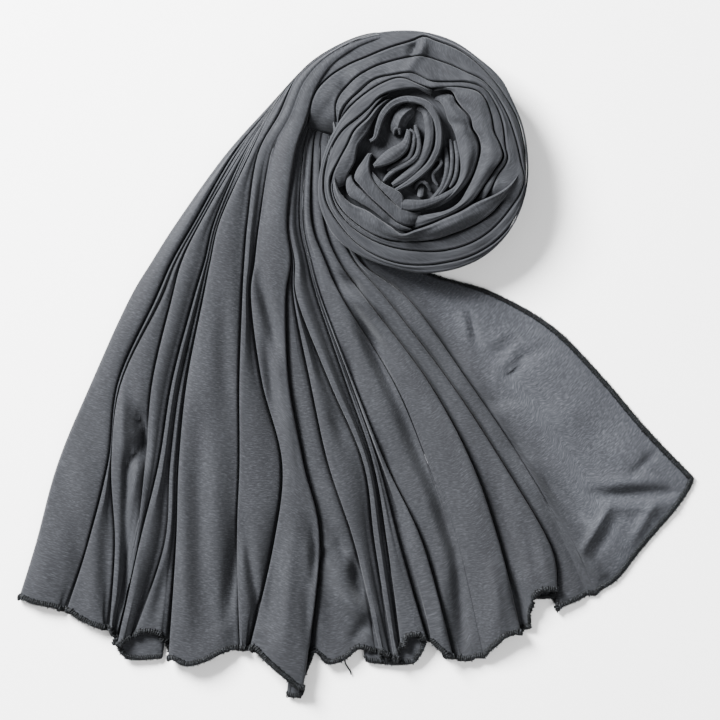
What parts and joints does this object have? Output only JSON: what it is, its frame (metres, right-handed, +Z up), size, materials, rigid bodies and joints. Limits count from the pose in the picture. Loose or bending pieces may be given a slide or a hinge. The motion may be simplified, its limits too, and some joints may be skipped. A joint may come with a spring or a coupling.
{
  "type": "hijab headscarf",
  "caption": "Plain jersey headscarf laid flat: pleated fan and smooth corner with overlocked edges, the rest gathered and wound into a round coil.",
  "frame": {"origin": "on the surface it lies on, under the middle of its outline", "axes": "+X across the page to the right, +Y up the page from the fan's hem to the coil, +Z up from the surface"},
  "size_m": [0.4615, 0.4465, 0.0391],
  "materials": {
    "cloth": "matte heathered jersey",
    "edge_thread": "matte spun thread"
  },
  "bodies": {
    "root": {"fanned_end": "cloth", "corner_panel": "cloth", "coil_outer_turn": "cloth", "coil_second_turn": "cloth", "coil_third_turn": "cloth", "coil_core": "cloth", "bottom_edge_stitching": "edge_thread", "side_edge_stitching": "edge_thread"}
  },
  "joints": []
}
